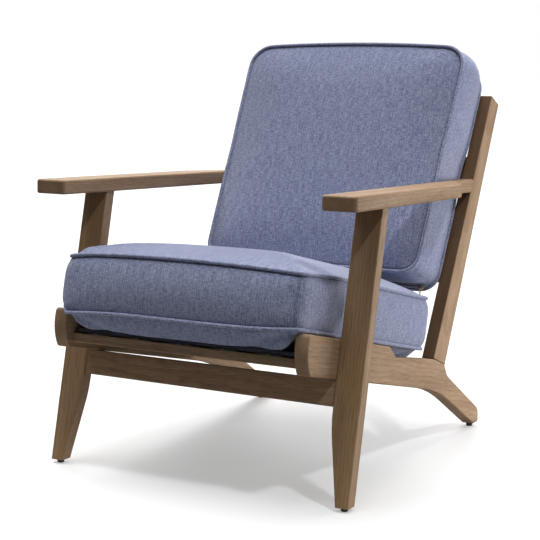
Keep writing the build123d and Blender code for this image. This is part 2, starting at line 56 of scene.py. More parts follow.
# %% The tilted planes of the seat and the back
seat_pitch = radians(13.5)
back_lean = radians(28)
seat_along = Vector((0, cos(seat_pitch), -sin(seat_pitch)))
seat_up = Vector((0, sin(seat_pitch), cos(seat_pitch)))
back_along = Vector((0, sin(back_lean), cos(back_lean)))
back_out = Vector((0, -cos(back_lean), sin(back_lean)))
seat_corner = Vector((0, -435.1, 337)) * MM
back_corner = Vector((0, 107.6, 194.4)) * MM
seat_middle = 278.5
back_middle = 405


def tilted_place(origin, along, out, middle):
    """Matrix from flat millimetres to the chair, centred at a run along the slope."""
    turn = Matrix((Vector((1, 0, 0)), along, out)).transposed().to_4x4()
    return Matrix.Translation(origin + along * (middle * MM)) @ turn @ Matrix.Scale(MM, 4)


seat_place = tilted_place(seat_corner, seat_along, seat_up, seat_middle)
back_place = tilted_place(back_corner, back_along, back_out, back_middle)
print("seat middle:", seat_place.translation, "back middle:", back_place.translation)

# %% [markdown]
# Colours are written as the sRGB hex values one would pick from a picture, and shaders work in
# linear light, so one function turns the one into the other. A second function adds a shader
# node, sets its properties, and fills its sockets with a value or a link.

# %% Colours and shader nodes


def hex_colour(text):
    """Linear RGBA of an sRGB hex colour."""
    channels = [int(text[i : i + 2], 16) / 255 for i in (1, 3, 5)]
    linear = [c / 12.92 if c <= 0.04045 else ((c + 0.055) / 1.055) ** 2.4 for c in channels]
    return (*linear, 1)


def add_node(tree, kind, inputs=None, **settings):
    """Add a shader node; each input is a value, or another node's socket to link."""
    node = tree.nodes.new(kind)
    for name, value in settings.items():
        setattr(node, name, value)
    for socket, value in (inputs or {}).items():
        if isinstance(value, bpy.types.NodeSocket):
            tree.links.new(value, node.inputs[socket])
        else:
            node.inputs[socket].default_value = value
    return node


def new_material(name):
    """Empty node material and its output node."""
    material = bpy.data.materials.new(name)
    material.use_nodes = True
    material.node_tree.nodes.clear()
    output = add_node(material.node_tree, "ShaderNodeOutputMaterial")
    return material, material.node_tree, output


# %% [markdown]
# The camera stands about 31 degrees to the right of the chair's front, a little above the arms
# and far away, with a long lens. These values come from fitting the straight edges of the frame.

# %% Camera
camera_dip = 8.405
camera_right_of_front = 30.589
camera_data = bpy.data.cameras.new("Camera")
camera_data.lens = 101.4
camera_data.sensor_width = 36
camera = bpy.data.objects.new("Camera", camera_data)
camera.location = (1.5822, -2.7592, 0.8453)
camera.rotation_euler = (radians(90 - camera_dip), 0, radians(camera_right_of_front))
scene.collection.objects.link(camera)
scene.camera = camera
print("camera at", camera.location[:])

# %% [markdown]
# The photograph has a weak lamp at the front right, which draws the arm's shadow, a broad one
# overhead and one behind on the left for the tops, and a low soft box at the right and behind,
# which lights the outer sides. Suns do for the far lamps, and an area lamp for the soft box. The
# world is white where the camera or a reflection looks at it, and gives only a weak plain light
# otherwise.

# %% Light and background


def add_sun(name, right_of_front, height, strength, angle):
    """Sun lamp from an angle right of the front and a height, with its spread, in degrees."""
    sun = bpy.data.lights.new(name, "SUN")
    sun.energy = strength
    sun.angle = radians(angle)
    lamp = bpy.data.objects.new(name, sun)
    lamp.rotation_euler = Euler((radians(90 - height), 0, radians(right_of_front)))
    scene.collection.objects.link(lamp)


add_sun("Key", right_of_front=68, height=56, strength=0.9, angle=5)
add_sun("Overhead", right_of_front=-100, height=82, strength=2.6, angle=45)
add_sun("Rear", right_of_front=-140, height=38, strength=1.35, angle=35)
box_light = bpy.data.lights.new("Soft box", "AREA")
box_light.shape = "RECTANGLE"
box_light.size = 1.4
box_light.size_y = 0.6
box_light.energy = 21
soft_box = bpy.data.objects.new("Soft box", box_light)
soft_box.location = (1.58, 1.06, 0.35)
soft_box.rotation_euler = (radians(90), 0, radians(124))
soft_box.visible_camera = False
scene.collection.objects.link(soft_box)

world = bpy.data.worlds.new("Studio")
world.use_nodes = True
scene.world = world
tree = world.node_tree
tree.nodes.clear()
rays = add_node(tree, "ShaderNodeLightPath")
seen = add_node(
    tree,
    "ShaderNodeMath",
    {0: rays.outputs["Is Camera Ray"], 1: rays.outputs["Is Glossy Ray"]},
    operation="MAXIMUM",
)
seen_through = add_node(
    tree,
    "ShaderNodeMath",
    {0: seen.outputs[0], 1: rays.outputs["Is Transmission Ray"]},
    operation="MAXIMUM",
)
strength = add_node(
    tree, "ShaderNodeMapRange", {"Value": seen_through.outputs[0], "To Min": 0.05, "To Max": 1.0}
)
white = add_node(
    tree,
    "ShaderNodeBackground",
    {"Color": hex_colour("#FFFFFF"), "Strength": strength.outputs[0]},
)
add_node(tree, "ShaderNodeOutputWorld", {"Surface": white.outputs[0]})

# %% [markdown]
# The floor is a matt white sweep. To the camera, part of it glows a little, so that it stays
# white while the chair's soft shadow still shows on the rest. Near the chair it throws light
# back up at the legs and the underside, and further off it is dark to the chair, as a studio is.

# %% Floor
floor_reach = 30
sheet = bmesh.new()
bmesh.ops.create_grid(sheet, x_segments=1, y_segments=1, size=floor_reach)
floor_mesh = bpy.data.meshes.new("Floor")
sheet.to_mesh(floor_mesh)
sheet.free()
floor = bpy.data.objects.new("Floor", floor_mesh)
scene.collection.objects.link(floor)

floor_paint, tree, output = new_material("Matt white floor")
place = add_node(tree, "ShaderNodeTexCoord")
from_chair = add_node(
    tree, "ShaderNodeVectorMath", {0: place.outputs["Object"]}, operation="LENGTH"
)
beyond = add_node(
    tree,
    "ShaderNodeMapRange",
    {"Value": from_chair.outputs["Value"], "From Min": 0.8, "From Max": 1.4},
)
thrown = add_node(
    tree,
    "ShaderNodeMix",
    {0: beyond.outputs[0], 6: hex_colour("#B4B4B4"), 7: hex_colour("#343434")},
    data_type="RGBA",
)
rays = add_node(tree, "ShaderNodeLightPath")
tone = add_node(
    tree,
    "ShaderNodeMix",
    {0: rays.outputs["Is Camera Ray"], 6: thrown.outputs[2], 7: hex_colour("#D0D0D0")},
    data_type="RGBA",
)
paper = add_node(tree, "ShaderNodeBsdfDiffuse", {"Color": tone.outputs[2]})
glow = add_node(
    tree,
    "ShaderNodeEmission",
    {"Color": hex_colour("#A6A6A6"), "Strength": rays.outputs["Is Camera Ray"]},
)
lit_floor = add_node(tree, "ShaderNodeAddShader", {0: paper.outputs[0], 1: glow.outputs[0]})
tree.links.new(lit_floor.outputs[0], output.inputs["Surface"])
floor_mesh.materials.append(floor_paint)
print("stage and lamps made")

# %% [markdown]
# The frame is oak, planed, stained a grey brown and lacquered to a low shine. Oak shows broad
# growth bands, which bend into arches on a flat sawn face, and fine dark pores along the grain.
# Each board's grain runs along its own length, so the pattern is turned to suit the board. The
# fronts and rears of the legs and posts get painted shade, darker than their lit sides. The
# pores are half a millimetre wide in life; here they are drawn about twice as wide, to show.

# %% Stained oak
ring_spacing = 6 * MM
pore_width = 1.1 * MM
pore_length = 30 * MM
patch_width = 30 * MM
patch_length = 260 * MM
glue_line_height = 2 * MM


def wave_scale(spacing):
    """Scale at which a wave texture repeats at a spacing in metres."""
    return 2 * pi / (20 * spacing)


def stained_oak(name, turn, offset, pore_depth=0.32, painted_front_shade=None, joint=None):
    """Satin stained oak with its grain along Y after the turn.

    The pore depth is how much stain the pores take. A share and a colour of painted shade make
    the front and rear faces of an upright board darker than its lit sides.
    A joint is a plane, by its normal and level, where the glue line shows dark.
    """
    material, tree, output = new_material(name)
    place = add_node(tree, "ShaderNodeTexCoord")
    board = add_node(
        tree,
        "ShaderNodeMapping",
        {"Vector": place.outputs["Object"], "Rotation": turn, "Location": offset},
    )
    # the growth rings lie round a heart line that runs askew to the board
    askew = add_node(
        tree,
        "ShaderNodeMapping",
        {"Vector": board.outputs[0], "Rotation": (0.09, 0, 0.05), "Scale": (1, 0.5, 1)},
    )
    rings = add_node(
        tree,
        "ShaderNodeTexWave",
        {"Vector": askew.outputs[0], "Scale": wave_scale(ring_spacing), "Distortion": 8.0,
         "Detail": 1.0, "Detail Scale": 0.22, "Detail Roughness": 0.4},
        wave_type="RINGS",
        rings_direction="Y",
        wave_profile="SAW",
    )
    pore_space = add_node(
        tree,
        "ShaderNodeMapping",
        {"Vector": board.outputs[0], "Scale": (1 / pore_width, 1 / pore_length, 1 / pore_width)},
    )
    pore_noise = add_node(
        tree, "ShaderNodeTexNoise", {"Vector": pore_space.outputs[0], "Scale": 1.0, "Detail": 1.5}
    )
    pores = add_node(
        tree,
        "ShaderNodeMapRange",
        {"Value": pore_noise.outputs[0], "From Min": 0.48, "From Max": 0.7},
    )
    patch_space = add_node(
        tree,
        "ShaderNodeMapping",
        {
            "Vector": board.outputs[0],
            "Scale": (1 / patch_width, 1 / patch_length, 1 / patch_width),
        },
    )
    patches = add_node(
        tree, "ShaderNodeTexNoise", {"Vector": patch_space.outputs[0], "Scale": 1.0, "Detail": 3.0}
    )
    patch_share = add_node(
        tree,
        "ShaderNodeMapRange",
        {"Value": patches.outputs[0], "From Min": 0.3, "From Max": 0.7},
    )
    ground = add_node(
        tree,
        "ShaderNodeMix",
        {0: patch_share.outputs[0], 6: hex_colour("#9D8266"), 7: hex_colour("#B89B7F")},
        data_type="RGBA",
    )
    band_share = add_node(
        tree,
        "ShaderNodeMapRange",
        {"Value": rings.outputs["Fac"], "From Min": 0.3, "From Max": 1.0, "To Max": 0.28},
    )
    banded = add_node(
        tree,
        "ShaderNodeMix",
        {0: band_share.outputs[0], 6: ground.outputs[2], 7: hex_colour("#7C5A3C")},
        data_type="RGBA",
    )
    pore_share = add_node(
        tree, "ShaderNodeMath", {0: pores.outputs[0], 1: pore_depth}, operation="MULTIPLY"
    )
    grained = add_node(
        tree,
        "ShaderNodeMix",
        {0: pore_share.outputs[0], 6: banded.outputs[2], 7: hex_colour("#4F3218")},
        data_type="RGBA",
    )
    # end grain drinks more stain
    facing = add_node(
        tree,
        "ShaderNodeMapping",
        {"Vector": place.outputs["Normal"], "Rotation": turn},
        vector_type="NORMAL",
    )
    facing_parts = add_node(tree, "ShaderNodeSeparateXYZ", {0: facing.outputs[0]})
    end_share = add_node(
        tree, "ShaderNodeMath", {0: facing_parts.outputs["Y"]}, operation="ABSOLUTE"
    )
    end_grain = add_node(
        tree,
        "ShaderNodeMapRange",
        {"Value": end_share.outputs[0], "From Min": 0.75, "From Max": 1.0, "To Max": 0.2},
    )
    stained = add_node(
        tree,
        "ShaderNodeMix",
        {0: end_grain.outputs[0], 6: grained.outputs[2], 7: hex_colour("#54412F")},
        data_type="RGBA",
    )
    # painted shade: the front and rear faces of the board are darkened, where the lamps leave them
    # dim
    if painted_front_shade:
        deepest, shade_colour = painted_front_shade
        face_share = add_node(
            tree, "ShaderNodeMath", {0: facing_parts.outputs["Z"]}, operation="ABSOLUTE"
        )
        front_shaded = add_node(
            tree,
            "ShaderNodeMapRange",
            {"Value": face_share.outputs[0], "From Min": 0.75, "From Max": 0.95,
             "To Max": deepest},
        )
        stained = add_node(
            tree,
            "ShaderNodeMix",
            {0: front_shaded.outputs[0], 6: stained.outputs[2], 7: hex_colour(shade_colour)},
            data_type="RGBA",
        )
    if joint:
        normal, level = joint
        reach = add_node(
            tree,
            "ShaderNodeVectorMath",
            {0: place.outputs["Object"], 1: normal},
            operation="DOT_PRODUCT",
        )
        # drawn coarser than a real glue line, which is too fine to show
        glue_line = add_node(
            tree,
            "ShaderNodeMath",
            {0: reach.outputs["Value"], 1: level, 2: glue_line_height},
            operation="COMPARE",
        )
        stained = add_node(
            tree,
            "ShaderNodeMix",
            {0: glue_line.outputs[0], 6: stained.outputs[2], 7: hex_colour("#33241A")},
            data_type="RGBA",
        )
    roughness = add_node(
        tree,
        "ShaderNodeMapRange",
        {"Value": pores.outputs[0], "To Min": 0.52, "To Max": 0.64},
    )
    relief = add_node(
        tree,
        "ShaderNodeBump",
        {"Height": pores.outputs[0], "Strength": 0.25, "Distance": 0.0004},
        invert=True,
    )
    lacquer = add_node(
        tree,
        "ShaderNodeBsdfPrincipled",
        {
            "Base Color": stained.outputs[2],
            "Roughness": roughness.outputs[0],
            "Normal": relief.outputs[0],
            "Specular IOR Level": 0.1,
        },
    )
    tree.links.new(lacquer.outputs[0], output.inputs["Surface"])
    return material


def dress(node_names, material):
    """Give CAD nodes one finish."""
    for name in node_names:
        slots = nodes[name].data.materials
        slots.clear()
        slots.append(material)
    print(material.name, "on", len(node_names), "nodes")


along_planks = (seat_pitch, 0, 0)
along_posts = (-(pi / 2 - back_lean), 0, 0)
along_legs = (-(pi / 2 - seat_pitch), 0, 0)
arm_slope = radians(2)
along_arms = (arm_slope, 0, 0)
across = (0, 0, pi / 2)
joint_slope = radians(22)
joint_normal = Vector((0, sin(joint_slope), cos(joint_slope)))
post_joint = (joint_normal, joint_normal.dot(back_corner))
dress(
    ["left_side_plank", "right_side_plank"],
    stained_oak("Stained oak of the side planks", along_planks, (0.013, 0, 0.031)),
)
# the posts' front and rear faces get painted shade, standing in for the cushion's shadow on their
# fronts
dress(
    ["left_back_post", "right_back_post"],
    stained_oak(
        "Stained oak of the back posts", along_posts, (0.4, 0, 0),
        painted_front_shade=(0.65, "#4F3218"), joint=post_joint,
    ),
)
# the legs' front and rear faces get painted shade, darker and warmer than their lit sides
dress(
    ["left_front_leg", "right_front_leg"],
    stained_oak(
        "Stained oak of the front legs", along_legs, (0.7, 0, 0.2), pore_depth=0.34,
        painted_front_shade=(0.3, "#845F24"),
    ),
)
dress(
    ["left_armrest", "right_armrest"],
    stained_oak("Stained oak of the armrests", along_arms, (0.21, 0, 0.3)),
)
dress(
    [
        "front_apron", "front_seat_rail", "rear_seat_rail", "back_slat_bottom",
        "back_slat_lower", "back_slat_upper", "back_slat_top",
    ],
    stained_oak("Stained oak of the cross boards", across, (0.1, 0.9, 0), pore_depth=0.5),
)

# %% [markdown]
# The small hardware hardly shows: beech dowels, zinc plated bolts and inserts, dark nylon glides
# and the zips' brass sliders with their pale lacquered pulls. Each still gets its own finish,
# with a fine noise for the grain or the brushed surface.

# %% Hardware finishes


def speckled(name, dark, light, grain, roughness, metallic=0.0, stretch=(1, 1, 1)):
    """Plain finish whose colour wavers between two tones at a grain size in millimetres."""
    material, tree, output = new_material(name)
    place = add_node(tree, "ShaderNodeTexCoord")
    size = [1 / (grain * MM * s) for s in stretch]
    fine = add_node(tree, "ShaderNodeMapping", {"Vector": place.outputs["Object"], "Scale": size})
    noise = add_node(
        tree, "ShaderNodeTexNoise", {"Vector": fine.outputs[0], "Scale": 1.0, "Detail": 2.0}
    )
    tone = add_node(
        tree,
        "ShaderNodeMix",
        {0: noise.outputs[0], 6: hex_colour(dark), 7: hex_colour(light)},
        data_type="RGBA",
    )
    relief = add_node(
        tree,
        "ShaderNodeBump",
        {"Height": noise.outputs[0], "Strength": 0.2, "Distance": 0.0003},
    )
    skin = add_node(
        tree,
        "ShaderNodeBsdfPrincipled",
        {
            "Base Color": tone.outputs[2],
            "Roughness": roughness,
            "Metallic": metallic,
            "Normal": relief.outputs[0],
        },
    )
    tree.links.new(skin.outputs[0], output.inputs["Surface"])
    return material


dress(
    ["arm_front_dowels", "arm_rear_dowels", "post_dowels"],
    speckled("Beech dowel", "#B8966B", "#D2B48C", 2, 0.7, stretch=(1, 1, 12)),
)
dress(
    ["leg_bolts", "leg_inserts"],
    speckled("Zinc plated steel", "#A3A5A6", "#C0C2C2", 1, 0.35, metallic=1.0),
)
dress(
    ["left_front_glide", "right_front_glide", "left_rear_glide", "right_rear_glide"],
    speckled("Moulded nylon glide", "#1D1A18", "#2A2623", 1.5, 0.5),
)
zip_sliders = ["seat_zip_slider", "back_zip_slider"]
zip_pulls = ["seat_zip_pull", "back_zip_pull"]
dress(zip_sliders, speckled("Aged brass slider", "#8C7A58", "#A8946C", 1, 0.4, metallic=1.0))
dress(zip_pulls, speckled("Beige lacquered pull", "#D6CAB2", "#E6DCC8", 1, 0.45))

# %% [markdown]
# The covers are a blue grey linen. Its threads are spun from lighter and darker fibres, so the
# cloth looks flecked: short streaks along both threads, and a thicker slub here and there. The
# pattern follows a UV map in metres, one flat projection for each sewn panel. Real threads are
# 0.7 mm apart; they are drawn 1.4 mm apart, because finer ones can't be seen in the picture.

# %% Flecked linen
thread_spacing = 1.4
slub_width = 3.2
slub_length = 70


def flecked_linen(name, dark, mid, light):
    """Linen on the UV map "weave", with painted shade along the seams."""
    material, tree, output = new_material(name)
    cloth = add_node(tree, "ShaderNodeUVMap", uv_map="weave")
    streaks = []
    # long and short streaks along the warp, then streaks along the weft, in millimetres
    for across_streak, along_streak, shift in (
        (thread_spacing, 30, (0.3, 0.7, 0)),
        (thread_spacing, 7, (7.7, 5.2, 0)),
        (12, thread_spacing, (9.4, 8.6, 0)),
    ):
        space = add_node(
            tree,
            "ShaderNodeMapping",
            {
                "Vector": cloth.outputs[0],
                "Scale": (1 / (across_streak * MM), 1 / (along_streak * MM), 1),
                "Location": shift,
            },
        )
        noise = add_node(
            tree,
            "ShaderNodeTexNoise",
            {"Vector": space.outputs[0], "Scale": 1.0, "Detail": 1.0},
            noise_dimensions="2D",
        )
        streaks.append(noise.outputs[0])
    warp = add_node(tree, "ShaderNodeMath", {0: streaks[0], 1: streaks[1]}, operation="ADD")
    crossed = add_node(
        tree, "ShaderNodeMath", {0: warp.outputs[0], 1: streaks[2]}, operation="ADD"
    )
    fleck = add_node(
        tree,
        "ShaderNodeMapRange",
        {"Value": crossed.outputs[0], "From Min": 1.2, "From Max": 1.8},
    )
    darker = add_node(
        tree,
        "ShaderNodeMapRange",
        {"Value": fleck.outputs[0], "From Min": 0.0, "From Max": 0.5},
    )
    lighter = add_node(
        tree,
        "ShaderNodeMapRange",
        {"Value": fleck.outputs[0], "From Min": 0.5, "From Max": 1.0},
    )
    low_tone = add_node(
        tree,
        "ShaderNodeMix",
        {0: darker.outputs[0], 6: hex_colour(dark), 7: hex_colour(mid)},
        data_type="RGBA",
    )
    tone = add_node(
        tree,
        "ShaderNodeMix",
        {0: lighter.outputs[0], 6: low_tone.outputs[2], 7: hex_colour(light)},
        data_type="RGBA",
    )
    slub_space = add_node(
        tree,
        "ShaderNodeMapping",
        {
            "Vector": cloth.outputs[0],
            "Scale": (1 / (slub_width * MM), 1 / (slub_length * MM), 1),
        },
    )
    slub_noise = add_node(
        tree,
        "ShaderNodeTexNoise",
        {"Vector": slub_space.outputs[0], "Scale": 1.0, "Detail": 1.0},
        noise_dimensions="2D",
    )
    slubs = add_node(
        tree,
        "ShaderNodeMapRange",
        {"Value": slub_noise.outputs[0], "From Min": 0.6, "From Max": 0.75, "To Max": 0.45},
    )
    slubbed = add_node(
        tree,
        "ShaderNodeMix",
        {0: slubs.outputs[0], 6: tone.outputs[2], 7: hex_colour(light)},
        data_type="RGBA",
    )
    # painted shade: the linen darkens towards a deep blue grey near the seams, where the crease
    # beside the cord is in shade
    seam = add_node(tree, "ShaderNodeAttribute", attribute_name="seam")
    seam_shade_share = add_node(
        tree, "ShaderNodeMath", {0: seam.outputs["Fac"], 1: 0.5}, operation="MULTIPLY"
    )
    shaded = add_node(
        tree,
        "ShaderNodeMix",
        {0: seam_shade_share.outputs[0], 6: slubbed.outputs[2], 7: hex_colour("#2E3142")},
        data_type="RGBA",
    )
    relief = add_node(
        tree,
        "ShaderNodeBump",
        {"Height": crossed.outputs[0], "Strength": 0.5, "Distance": 0.0008},
    )
    weave = add_node(
        tree,
        "ShaderNodeBsdfPrincipled",
        {
            "Base Color": shaded.outputs[2],
            "Roughness": 0.9,
            "Specular IOR Level": 0.25,
            "Sheen Weight": 0.85,
            "Sheen Roughness": 0.5,
            "Sheen Tint": hex_colour("#D5D8EA"),
            "Normal": relief.outputs[0],
        },
    )
    tree.links.new(weave.outputs[0], output.inputs["Surface"])
    return material


cover_linen = flecked_linen("Flecked blue grey linen", "#6A7190", "#868EB0", "#A5ACC6")
# painted light: the welts get a lighter copy of the cover's linen, so the cords look lit where
# they would render dark
welt_linen_painted_lighter = flecked_linen("Bias cut linen of the welts, painted lighter", "#6E7593", "#8D95B5", "#AEB5CD")

# %% [markdown]
# A box cushion is two panels and a band sewn together with a corded welt in each seam. The form
# starts as a cube with its upright edges rounded. The panels are pushed out in rings, and the
# seams are kept as lines, because the welts, the sewing and the filling all follow them.

# %% The plain form of a box cushion


def round_edges(form, edges, radius, segments):
    """Round some edges of a form."""
    bmesh.ops.bevel(
        form,
        geom=edges,
        offset=radius,
        affect="EDGES",
        segments=segments,
        profile=0.5,
        material=-1,
    )


def is_upright(edge):
    """Whether an edge of a form runs from the low panel to the high one."""
    return abs(edge.verts[0].co.z - edge.verts[1].co.z) > 1


def panel_rings(form, panel, rings):
    """Push a panel out in rings, each a share of its outline and a step out."""
    for share, step in rings:
        grown = bmesh.ops.extrude_face_region(form, geom=[panel])
        panel = next(f for f in grown["geom"] if isinstance(f, bmesh.types.BMFace))
        middle = panel.calc_center_bounds()
        bmesh.ops.scale(
            form, vec=(share, share, 1), verts=panel.verts, space=Matrix.Translation(-middle)
        )
        bmesh.ops.translate(form, vec=(0, 0, step), verts=panel.verts)


def box_form(half_width, half_length, corners, low, high, swells, power, low_rings, high_rings):
    """Closed cushion form, its two seam lines and its corner points, in flat millimetres.

    The corners are the radii at the near end and at the far end. The swells are how far the
    band swells up to the middle, at the far end, and more than that at the far corners. The
    power says how full the swell is.
    """
    form = bmesh.new()
    bmesh.ops.create_cube(form, size=1)
    bmesh.ops.scale(form, vec=(2 * half_width, 2 * half_length, high - low), verts=form.verts)
    bmesh.ops.translate(form, vec=(0, 0, (high + low) / 2), verts=form.verts)
    for end, corner in zip((-1, 1), corners):
        upright = [e for e in form.edges if is_upright(e) and e.verts[0].co.y * end > 0]
        round_edges(form, upright, corner, 6)
    sides = [e for e in form.edges if e.calc_length() > 2 * high]
    bmesh.ops.subdivide_edges(form, edges=sides, cuts=13, use_grid_fill=True)
    upright = [e for e in form.edges if is_upright(e)]
    bmesh.ops.subdivide_edges(form, edges=upright, cuts=7, use_grid_fill=True)
    # the band swells most half-way up
    corner_points = []
    for vertex in form.verts:
        x, y, z = vertex.co
        corner = corners[0] if y < 0 else corners[1]
        core_x = max(corner - half_width, min(half_width - corner, x))
        core_y = max(corner - half_length, min(half_length - corner, y))
        outward = Vector((x - core_x, y - core_y, 0)).normalized()
        level = (2 * z - low - high) / (high - low)
        beyond = max(0, y / half_length)
        swell = swells[0] + (swells[1] - swells[0]) * beyond
        swell += swells[2] * beyond * 2 * abs(outward.x * outward.y)
        vertex.co += outward * swell * (1 - level**power)
        if abs(x - core_x) > 0.4 * corner and abs(y - core_y) > 0.4 * corner:
            corner_points.append(vertex.co.copy())
    panels = sorted(form.faces, key=lambda f: f.calc_center_bounds().z)
    seams = [[v.co.copy() for v in panel.verts] for panel in (panels[0], panels[-1])]
    panel_rings(form, panels[0], low_rings)
    panel_rings(form, panels[-1], high_rings)
    return form, seams, corner_points


def cord_line(seam, half_width, half_length, proud, lift):
    """Line of a cord, which stands proud of its seam to the side and is lifted out of it."""
    outward = Vector((1 + proud / half_width, 1 + proud / half_length, 1))
    return [point * outward + Vector((0, 0, lift)) for point in seam]


def seam_curve(name, points, radius, steps=4):
    """Closed smooth line through a seam, round like a cord where it has a radius."""
    curve = bpy.data.curves.new(name, "CURVE")
    curve.dimensions = "3D"
    curve.bevel_depth = radius
    curve.bevel_resolution = 3
    line = curve.splines.new("NURBS")
    line.points.add(len(points) - 1)
    for knot, point in zip(line.points, points):
        knot.co = (*point, 1)
    line.order_u = 3
    line.use_cyclic_u = True
    line.resolution_u = steps
    holder = bpy.data.objects.new(name, curve)
    scene.collection.objects.link(holder)
    bpy.context.view_layer.update()
    mesh = bpy.data.meshes.new_from_object(holder)
    bpy.data.objects.remove(holder)
    bpy.data.curves.remove(curve)
    return mesh


# %% [markdown]
# The filling is a cloth simulation. The form is cut into even small quads, held along its seams,
# and blown up by pressure without weight, so the panels crown and the band swells while the
# seams stay in line. No point may move further than a cap, so the cushion keeps its size.

# %% Filling a cushion
cloth_grid = 6 * MM
held_width = 6 * MM
filling_pressure = 4.0
filling_cap = 24 * MM
filling_frames = 20
crease_keep = 8 * MM


def nearest_line(points):
    """Search tree over the points of the seams."""
    tree = KDTree(len(points))
    for index, point in enumerate(points):
        tree.insert(point, index)
    tree.balance()
    return tree


def even_mesh(form, name):
    """New object with the form's skin in even quads."""
    rough = bpy.data.meshes.new(name)
    form.to_mesh(rough)
    form.free()
    piece = bpy.data.objects.new(name, rough)
    scene.collection.objects.link(piece)
    remesh = piece.modifiers.new("Even quads", "REMESH")
    remesh.mode = "VOXEL"
    remesh.voxel_size = cloth_grid
    bpy.context.view_layer.update()
    even = bpy.data.meshes.new_from_object(
        piece.evaluated_get(bpy.context.evaluated_depsgraph_get())
    )
    piece.modifiers.clear()
    piece.data = even
    bpy.data.meshes.remove(rough)
    even.name = name
    return piece


def ease_creases(piece, seam_tree, rounds, out=None):
    """Smooth the cover, but not at its seams; only the two panels where a way out is given."""
    cover = bmesh.new()
    cover.from_mesh(piece.data)
    free = [
        v
        for v in cover.verts
        if seam_tree.find(v.co)[2] > crease_keep
        and (not out or abs(v.normal.dot(out)) > 0.5)
    ]
    for _ in range(rounds):
        bmesh.ops.smooth_vert(
            cover, verts=free, factor=0.5, use_axis_x=True, use_axis_y=True, use_axis_z=True
        )
    cover.to_mesh(piece.data)
    cover.free()


def draw_to_seam(piece, edge_tree, reach):
    """Draw the cover to its seam lines, so that it meets the cords without a gap."""
    for vertex in piece.data.vertices:
        spot, _, gap = edge_tree.find(vertex.co)
        if gap < reach:
            vertex.co = vertex.co.lerp(spot, 0.8 * (1 - gap / reach))


def fill_cover(piece, seam_tree):
    """Blow the cover up between its seams and keep the result."""
    start = [v.co.copy() for v in piece.data.vertices]
    held = piece.vertex_groups.new(name="seams")
    near = [i for i, point in enumerate(start) if seam_tree.find(point)[2] < held_width]
    held.add(near, 1.0, "REPLACE")
    filling = piece.modifiers.new("Filling", "CLOTH")
    filling.settings.vertex_group_mass = held.name
    filling.settings.use_pressure = True
    filling.settings.uniform_pressure_force = filling_pressure
    filling.settings.effector_weights.gravity = 0
    for number in range(1, filling_frames + 1):
        scene.frame_set(number)
    blown = bpy.data.meshes.new_from_object(
        piece.evaluated_get(bpy.context.evaluated_depsgraph_get())
    )
    piece.modifiers.clear()
    piece.vertex_groups.clear()
    moves = []
    for vertex, result, old in zip(piece.data.vertices, blown.vertices, start):
        move = result.co - old
        if move.length > filling_cap:
            move *= filling_cap / move.length
        moves.append(move.length)
        vertex.co = old + move
    bpy.data.meshes.remove(blown)
    scene.frame_set(1)
    print(piece.name, "swelled by up to", round(max(moves) / MM, 1), "mm")


# %% [markdown]
# Each sewn panel is cut from flat cloth, so the weave gets a flat projection per panel, chosen
# by where a face looks. A "seam" value on the points near a seam darkens the linen there, as
# painted shade in the crease where the cloth meets the cord.

# %% Panels and seams
panel_facing = 0.62
seam_shade_half_width = 3.5
seam_shade_fade = 4
corner_seam_shade_reach = 12
cord_radius = 3.7 * MM


def lay_weave(piece, place, band_along=False):
    """UV map in metres, one projection for each panel; the warp may run along the side bands."""
    flat = place.inverted()
    turn = flat.to_3x3()
    layer = piece.data.uv_layers.new(name="weave")
    for face in piece.data.polygons:
        facing = (turn @ face.normal).normalized()
        for loop in face.loop_indices:
            point = flat @ piece.data.vertices[piece.data.loops[loop].vertex_index].co * MM
            if abs(facing.z) > panel_facing:
                layer.data[loop].uv = (point.x, point.y)
            elif abs(facing.y) > abs(facing.x):
                layer.data[loop].uv = (point.x + 1, point.z)
            elif band_along:
                layer.data[loop].uv = (point.z + 2, point.y)
            else:
                layer.data[loop].uv = (point.y + 2, point.z)


def paint_seam_shade(piece, seam_tree, place, corner_seams):
    """Seam value from 1 in a seam to 0 where its shade has faded."""
    flat = place.inverted()
    seam = piece.data.attributes.new("seam", "FLOAT", "POINT")
    for index, vertex in enumerate(piece.data.vertices):
        point = flat @ vertex.co
        gap = seam_tree.find(vertex.co)[2] / MM - seam_shade_half_width
        for x, y in corner_seams:
            if abs(point.y) > abs(y) - corner_seam_shade_reach and point.y * y > 0:
                gap = min(gap, abs(point.x - x))
        seam.data[index].value = max(0, 1 - max(gap, 0) / seam_shade_fade) ** 1.5


def finish_cover(piece, body, covered):
    """Smooth the cover once, give it its linen and let it ride."""
    for face in piece.data.polygons:
        face.use_smooth = True
    piece.data.materials.clear()
    piece.data.materials.append(cover_linen)
    smooth = piece.modifiers.new("Smooth", "SUBSURF")
    smooth.levels = smooth.render_levels = 1
    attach(piece, body)
    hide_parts(*covered)


def sew_welt(name, points, body, node):
    """Corded welt along a seam."""
    mesh = seam_curve(name, points, cord_radius)
    layer = mesh.uv_layers[0]
    layer.name = "weave"
    length = sum((a - b).length for a, b in zip(points, points[1:] + points[:1]))
    for loop in layer.data:
        loop.uv = (loop.uv.x * length, loop.uv.y * 2 * pi * cord_radius)
    for face in mesh.polygons:
        face.use_smooth = True
    mesh.materials.append(welt_linen_painted_lighter)
    piece = bpy.data.objects.new(name, mesh)
    scene.collection.objects.link(piece)
    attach(piece, body)
    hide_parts(node)
    print(name, "is", round(length, 2), "m long")


# %% [markdown]
# The seat cushion lies on the two planks and sags between them onto the deck. Its front seams
# are not straight: the top one rises in the middle and drops at the corners, and the lower one
# hangs between the planks, most at the left, where the corner has slipped inside the plank.

# %% Seat cushion
seat_half_width = 266
seat_half_length = 276
seat_low = 6
seat_high = 111
seat_zip_height = 50
seat_zip_half = 242
seat_zip_run = 275
plank_inside = 254.4
deck_top = -33.4


